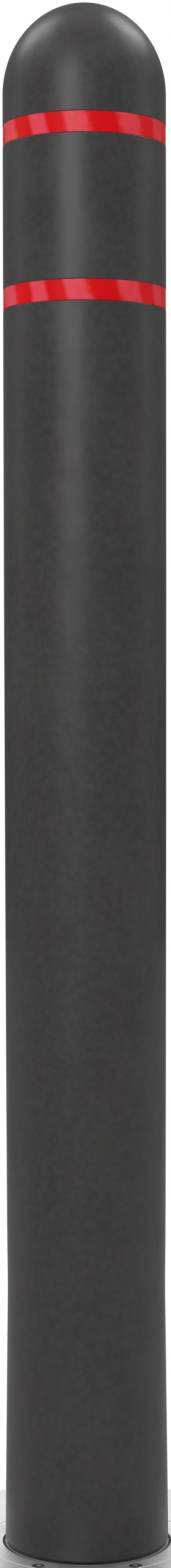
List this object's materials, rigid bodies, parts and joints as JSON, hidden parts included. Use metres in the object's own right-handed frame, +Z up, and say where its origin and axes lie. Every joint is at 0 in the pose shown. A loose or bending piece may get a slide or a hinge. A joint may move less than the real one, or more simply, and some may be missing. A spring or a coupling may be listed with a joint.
{
  "type": "retractable bollard",
  "caption": "Domed street bollard with reflective bands that slides down into a ground housing and locks, raised or lowered, with a key-turned rack bolt.",
  "frame": {"origin": "on the post's axis at ground level, in the plane of the ground flange's top face", "axes": "+Z up along the post, +Y towards the lock at the back, +X towards the drain outlet"},
  "size_m": [0.26, 0.2839, 2.2926],
  "materials": {
    "cover_plastic": "charcoal moulded polyethylene, semi-gloss",
    "reflective_red": "red retro-reflective sheeting",
    "stainless": "satin stainless steel",
    "galvanised": "hot-dip galvanised steel",
    "primed_steel": "grey primed steel",
    "zinc_steel": "bright zinc-plated steel",
    "screw_steel": "plain stainless steel, turned",
    "chromed_rod": "hard chrome, polished",
    "black_paint": "black enamel",
    "black_nylon": "glass-filled nylon",
    "acetal": "natural acetal, machined",
    "rubber": "black EPDM rubber",
    "brass": "machined brass",
    "bronze": "sintered bronze"
  },
  "bodies": {
    "housing": {"housing_tube": "galvanised", "housing_collar": "galvanised", "base_plate": "galvanised", "concrete_keys": "galvanised", "drain_spigot": "galvanised", "buffers": "rubber", "buffer_screws": "zinc_steel", "spring_cup": "galvanised", "spring_pin": "zinc_steel", "gas_barrel": "black_paint", "gas_gland": "brass", "guide_rail": "galvanised", "guide_bush": "acetal", "bush_screws": "zinc_steel", "ground_flange": "stainless", "flange_screws": "screw_steel", "wiper_seal": "rubber", "retaining_ring": "stainless", "ring_screws": "screw_steel", "lock_case": "galvanised", "bolt_sleeve": "bronze", "gear_plate": "galvanised", "gear_screws": "zinc_steel", "lock_barrel": "brass", "barrel_nut": "brass", "flap_pin": "screw_steel"},
    "post": {"post_cover": "cover_plastic", "upper_band": "reflective_red", "lower_band": "reflective_red", "lock_ferrule": "stainless", "dome_support": "black_nylon", "post_tube": "primed_steel", "top_plate": "primed_steel", "rod_nut": "zinc_steel", "gas_rod": "chromed_rod", "gas_piston": "zinc_steel", "lock_collar": "stainless", "foot_bearing": "acetal", "foot_plate": "primed_steel", "foot_screws": "zinc_steel"},
    "lock_plug": {"lock_plug": "brass", "drive_shaft": "screw_steel", "pinion": "screw_steel"},
    "latch": {"latch_bolt": "screw_steel"},
    "key_cover": {"key_flap": "stainless"}
  },
  "joints": [
    {"name": "post_slide", "type": "slide", "parent": "housing", "child": "post", "axis": [0, 0, 1], "range_m": [-1.042, 0], "stiffness_N_per_m": 75, "springref_m": 3.5},
    {"name": "key_turn", "type": "hinge", "parent": "housing", "child": "lock_plug", "pos_m": [0.013, 0.10385, -0.05], "axis": [0, 0, 1], "range_deg": [0, 90]},
    {"name": "latch_slide", "type": "slide", "parent": "housing", "child": "latch", "axis": [0, -1, 0], "range_m": [0, 0.01257]},
    {"name": "key_cover_hinge", "type": "hinge", "parent": "housing", "child": "key_cover", "pos_m": [0.013, 0.12585, -0.004], "axis": [-1, 0, 0], "range_deg": [0, 90]}
  ],
  "couplings": [
    {"joint": "latch_slide", "follows": "key_turn", "m_per_rad": 0.008}
  ]
}
